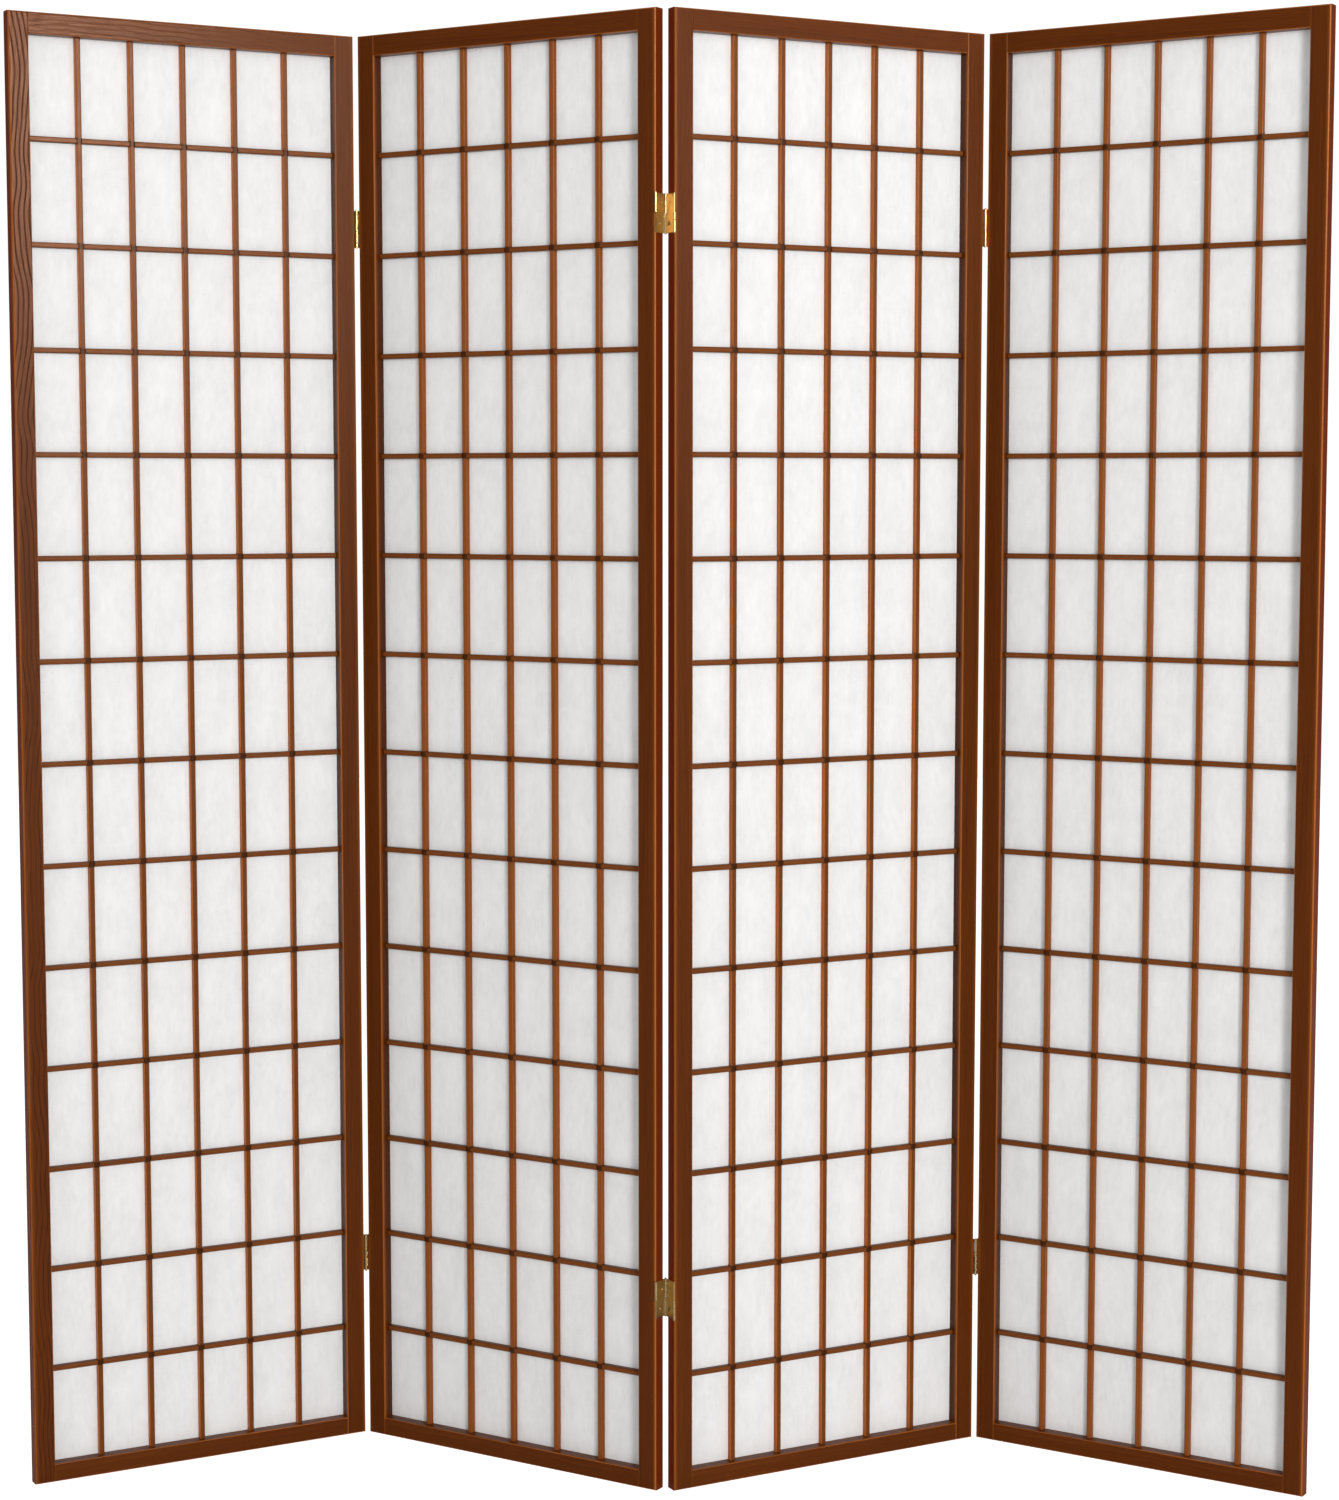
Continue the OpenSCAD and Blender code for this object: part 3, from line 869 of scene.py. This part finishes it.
class SHOJI_OT_finish_frame(bpy.types.Operator):
    """Give the stiles and rails their stained wood"""

    bl_idname = "shoji.finish_frame"
    bl_label = "Finish Frame"

    def execute(self, context):
        wood = context.scene.shoji_wood
        for number in PANELS:
            place = PanelPlace(number)
            upright = frame_wood(f"frame_upright_{number}", place, False, wood, wood.ring_share)
            level = frame_wood(
                f"frame_level_{number}", place, True, wood, wood.rail_ring_share,
                place.opening_width / 2)
            dress(f"panel_{number}_left_stile", upright)
            dress(f"panel_{number}_right_stile", upright)
            dress(f"panel_{number}_top_rail", level)
            dress(f"panel_{number}_bottom_rail", level)
        figured = frame_wood("frame_figured_1", PanelPlace(1), False, wood, wood.figured_ring_share)
        dress("panel_1_left_stile", figured)
        return {"FINISHED"}


class SHOJI_OT_finish_lattice(bpy.types.Operator):
    """Give the lattice bars their stained wood, with painted light and shade on their sides and fronts,
    darker where they cross
    """

    bl_idname = "shoji.finish_lattice"
    bl_label = "Finish Lattice"

    def execute(self, context):
        wood = context.scene.shoji_wood
        lattice = context.scene.shoji_lattice
        half = lattice.bar_width / 2
        for number in PANELS:
            place = PanelPlace(number)
            # Which side of an upright gets the painted light, and how much painted shade its front and
            # that side get, depends on which way the panel turns
            turned_right = place.turn > 0
            upright = bar_wood(
                f"bar_upright_{number}", place, False, wood,
                (lattice.upright_stain, lattice.upright_light), half,
                lit_side_to=-1.0 if turned_right else 1.0,
                front_shade=lattice.front_shade if turned_right else lattice.left_turned_front_shade,
                lit_side_shade=0.0 if turned_right else lattice.left_turned_side_shade)
            level = bar_wood(
                f"bar_level_{number}", place, True, wood,
                (lattice.crossbar_stain, lattice.crossbar_light), half)
            dress(f"panel_{number}_lattice_uprights", upright)
            dress(f"panel_{number}_lattice_crossbars", level)
        return {"FINISHED"}


class SHOJI_OT_glue_paper(bpy.types.Operator):
    """Glue in the sheets of paper"""

    bl_idname = "shoji.glue_paper"
    bl_label = "Glue Paper"

    def execute(self, context):
        paper = context.scene.shoji_paper
        for number in PANELS:
            place = PanelPlace(number)
            shape = paper_sheet(place, paper, context.scene.shoji_lattice)
            for face in shape.faces:
                face.smooth = abs(face.normal.y) > 0.5
            bmesh.ops.transform(shape, matrix=place.matrix(), verts=shape.verts)
            sheet = finished_piece(
                f"panel_{number}_washi", shape, paper_finish(f"washi_{number}", place, paper),
                f"panel_{number}", f"panel_{number}_paper")
        return {"FINISHED"}


class SHOJI_OT_finish_hinges(bpy.types.Operator):
    """Give the hinges and their pins their brass"""

    bl_idname = "shoji.finish_hinges"
    bl_label = "Finish Hinges"

    def execute(self, context):
        brass = context.scene.shoji_brass
        plate = brass_finish("hinge_plate_brass", brass, "Z", brass.roughness)
        turned = brass_finish("turned_brass", brass, "X", brass.roughness - PIN_POLISH)
        for fold in FOLDS:
            for level in LEVELS:
                for part in ("left_leaf", "right_leaf", "upper_link", "lower_link"):
                    dress(f"fold_{fold}_{level}_hinge_{part}", plate)
        for number in PANELS:
            dress(f"panel_{number}_hinge_pins", turned)
        return {"FINISHED"}


class SHOJI_OT_drive_screws(bpy.types.Operator):
    """Drive the hinge screws, each with its cross recess turned its own way"""

    bl_idname = "shoji.drive_screws"
    bl_label = "Drive Screws"

    def execute(self, context):
        brass = context.scene.shoji_brass
        material = brass_finish("screw_brass_turned", brass, "X", brass.roughness - SCREW_POLISH)
        one = brass_screw(brass)
        pattern = bpy.data.meshes.new("screw_pattern")
        one.to_mesh(pattern)
        one.free()
        for number in PANELS:
            place = PanelPlace(number)
            shape = bmesh.new()
            for screw_place in screw_places(number, place, brass):
                count = len(shape.verts)
                shape.from_mesh(pattern)
                shape.verts.ensure_lookup_table()
                bmesh.ops.transform(
                    shape, matrix=place.matrix() @ screw_place, verts=shape.verts[count:])
            finished_piece(
                f"panel_{number}_brass_screws", shape, material,
                f"panel_{number}", f"panel_{number}_hinge_screws")
        bpy.data.meshes.remove(pattern)
        return {"FINISHED"}


FLOOR_SEGMENTS = 96

# How far up the light from the walls starts and stops falling off, and what shows behind the screen
CEILING_FADE = (0.05, 0.7)
BACKDROP = 1.05

KEY_LIGHT_SIZE = 1.8
# Azimuth, elevation and distance from the screen's middle
KEY_LIGHT_SPOT = (22, 9, 7.0)

WARM_LIGHT = (1.0, 0.60, 0.42)
SIDE_LIGHT_DISTANCE = 4.2
# Name, share of the power, diameter, and the azimuth and elevation it stands at
SIDE_LIGHTS = (
    ("side_light", 1.0, 0.9, 35, 19),
    ("far_side_light", 0.13, 1.6, 66, 16),
)

# The sensor and the lens in millimetres, the spot in metres, and the angles in degrees
SENSOR_WIDTH = 36.0
FOCAL_LENGTH = 71.09
LENS_SHIFT = (0.0026, 0.0046)
CAMERA_SPOT = (0.1009, -3.6464, 1.2201)
CAMERA_DIP = 5.143
CAMERA_TURN = 1.628


def area_light(name, power, size, spot, target, colour=(1.0, 1.0, 1.0)):
    light = bpy.data.lights.new(name, "AREA")
    light.shape = "DISK"
    light.energy = power
    light.size = size
    light.color = colour
    holder = bpy.data.objects.new(name, light)
    holder.location = spot
    holder.visible_camera = False
    holder.rotation_euler = (Vector(target) - Vector(spot)).to_track_quat("-Z", "Y").to_euler()
    bpy.context.scene.collection.objects.link(holder)
    return holder


def bearing(azimuth, elevation, distance):
    """A spot around the screen: azimuth 0 is in front of it, and 90 is off its right end"""
    a = math.radians(azimuth)
    e = math.radians(elevation)
    return Vector((
        math.sin(a) * math.cos(e) * distance,
        -math.cos(a) * math.cos(e) * distance,
        math.sin(e) * distance,
    ))


def light_the_room(scene, stage):
    """A white room whose light falls off towards the ceiling, and which is dim in reflections"""
    world = bpy.data.worlds.new("studio")
    scene.world = world
    world.use_nodes = True
    room = Nodes(world.node_tree)

    def glow(strength):
        return room.add("ShaderNodeBackground", None, {"Color": WHITE, "Strength": strength}).outputs[0]

    def either(share, first, second):
        return room.add("ShaderNodeMixShader", None, {0: share, 1: first, 2: second}).outputs[0]

    upward = room.split(room.add("ShaderNodeTexCoord").outputs["Generated"])[2]
    given = glow(room.fade(upward, *CEILING_FADE, stage.surround, stage.overhead))
    path = room.add("ShaderNodeLightPath").outputs
    lighting = either(path["Is Glossy Ray"], given, glow(stage.gleam))
    shown = either(path["Is Camera Ray"], lighting, glow(BACKDROP))
    room.add("ShaderNodeOutputWorld", None, {0: shown})


def stand_camera(scene):
    lens = bpy.data.cameras.new("camera")
    lens.sensor_fit = "AUTO"
    lens.sensor_width = SENSOR_WIDTH
    lens.lens = FOCAL_LENGTH
    lens.shift_x, lens.shift_y = LENS_SHIFT
    lens.clip_end = 100.0
    camera = bpy.data.objects.new("camera", lens)
    camera.location = CAMERA_SPOT
    camera.rotation_euler = (math.radians(90 - CAMERA_DIP), 0.0, math.radians(CAMERA_TURN))
    scene.collection.objects.link(camera)
    scene.camera = camera


class SHOJI_OT_set_stage(bpy.types.Operator):
    """Lay the floor, hang the lights and stand the camera"""

    bl_idname = "shoji.set_stage"
    bl_label = "Set Stage"

    def execute(self, context):
        stage = context.scene.shoji_stage
        low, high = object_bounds()
        centre = (low + high) / 2

        shape = bmesh.new()
        bmesh.ops.create_circle(
            shape, cap_ends=True, segments=FLOOR_SEGMENTS, radius=stage.floor_radius)
        mesh = bpy.data.meshes.new("floor")
        shape.to_mesh(mesh)
        shape.free()
        floor = bpy.data.objects.new("floor", mesh)
        floor.location.z = low.z
        context.scene.collection.objects.link(floor)
        mesh.materials.append(floor_finish("pale_floor", stage))
        floor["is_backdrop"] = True

        light_the_room(context.scene, stage)
        spot = centre + bearing(*KEY_LIGHT_SPOT)
        area_light("key_light", stage.key_power, KEY_LIGHT_SIZE, spot, centre)
        for name, share, size, azimuth, elevation in SIDE_LIGHTS:
            spot = centre + bearing(azimuth, elevation, SIDE_LIGHT_DISTANCE)
            sheen = area_light(name, stage.side_power * share, size, spot, centre, WARM_LIGHT)
            sheen.visible_diffuse = False
        stand_camera(context.scene)
        context.scene.view_settings.view_transform = "Standard"
        return {"FINISHED"}


class SHOJI_PT_sidebar(bpy.types.Panel):
    """The steps that finish the screen"""

    bl_idname = "SHOJI_PT_sidebar"
    bl_label = "Shoji Screen"
    bl_space_type = "VIEW_3D"
    bl_region_type = "UI"
    bl_category = "Shoji Screen"

    def draw(self, context):
        for name in STEPS:
            self.layout.operator(f"shoji.{name}")


STEPS = ("finish_frame", "finish_lattice", "glue_paper", "finish_hinges", "drive_screws", "set_stage")

SETTINGS = (
    ("shoji_wood", WoodSettings),
    ("shoji_lattice", LatticeSettings),
    ("shoji_paper", PaperSettings),
    ("shoji_brass", BrassSettings),
    ("shoji_stage", StageSettings),
)

CLASSES = (
    WoodSettings,
    LatticeSettings,
    PaperSettings,
    BrassSettings,
    StageSettings,
    SHOJI_OT_finish_frame,
    SHOJI_OT_finish_lattice,
    SHOJI_OT_glue_paper,
    SHOJI_OT_finish_hinges,
    SHOJI_OT_drive_screws,
    SHOJI_OT_set_stage,
    SHOJI_PT_sidebar,
)


def register():
    for cls in CLASSES:
        bpy.utils.register_class(cls)
    for name, group in SETTINGS:
        setattr(bpy.types.Scene, name, bpy.props.PointerProperty(type=group))


def unregister():
    for name, _ in SETTINGS:
        delattr(bpy.types.Scene, name)
    for cls in reversed(CLASSES):
        bpy.utils.unregister_class(cls)


def main():
    register()
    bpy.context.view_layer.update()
    for name in STEPS:
        getattr(bpy.ops.shoji, name)()


if __name__ == "__main__":
    main()
